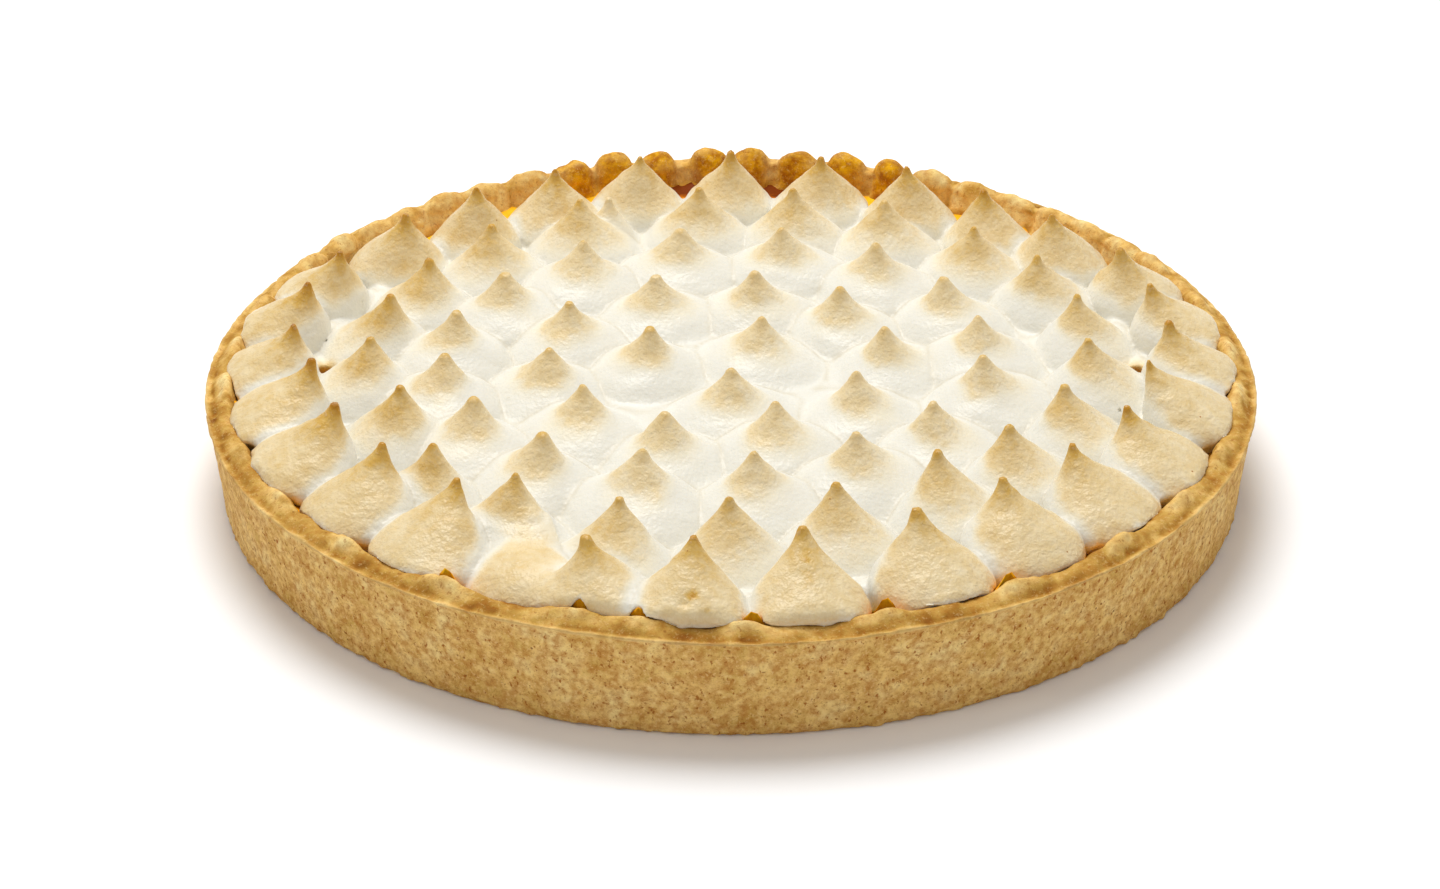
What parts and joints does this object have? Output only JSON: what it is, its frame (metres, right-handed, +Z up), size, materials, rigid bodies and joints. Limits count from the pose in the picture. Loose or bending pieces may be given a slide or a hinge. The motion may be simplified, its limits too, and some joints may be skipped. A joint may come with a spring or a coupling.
{
  "type": "lemon meringue pie",
  "caption": "Round lemon meringue pie: a deep shortcrust case with a thumb-crimped rim, lemon curd filling, and rings of toasted piped meringue kisses baked into one topping.",
  "frame": {"origin": "middle of the underside, on the surface that the pie stands on", "axes": "+Z up; -Y towards the viewer, +X to the viewer's right"},
  "size_m": [0.27, 0.27, 0.043],
  "materials": {
    "shortcrust": "matte, sandy baked pastry, paler on the lobes of the rim and golden brown inside it",
    "lemon_curd": "glossy set curd, caramelised brown where it meets the crust",
    "toasted_meringue": "soft satin white, toasted golden brown towards the peaks"
  },
  "bodies": {
    "root": {"crust": "shortcrust", "lemon_filling": "lemon_curd", "meringue": "toasted_meringue"}
  },
  "joints": []
}
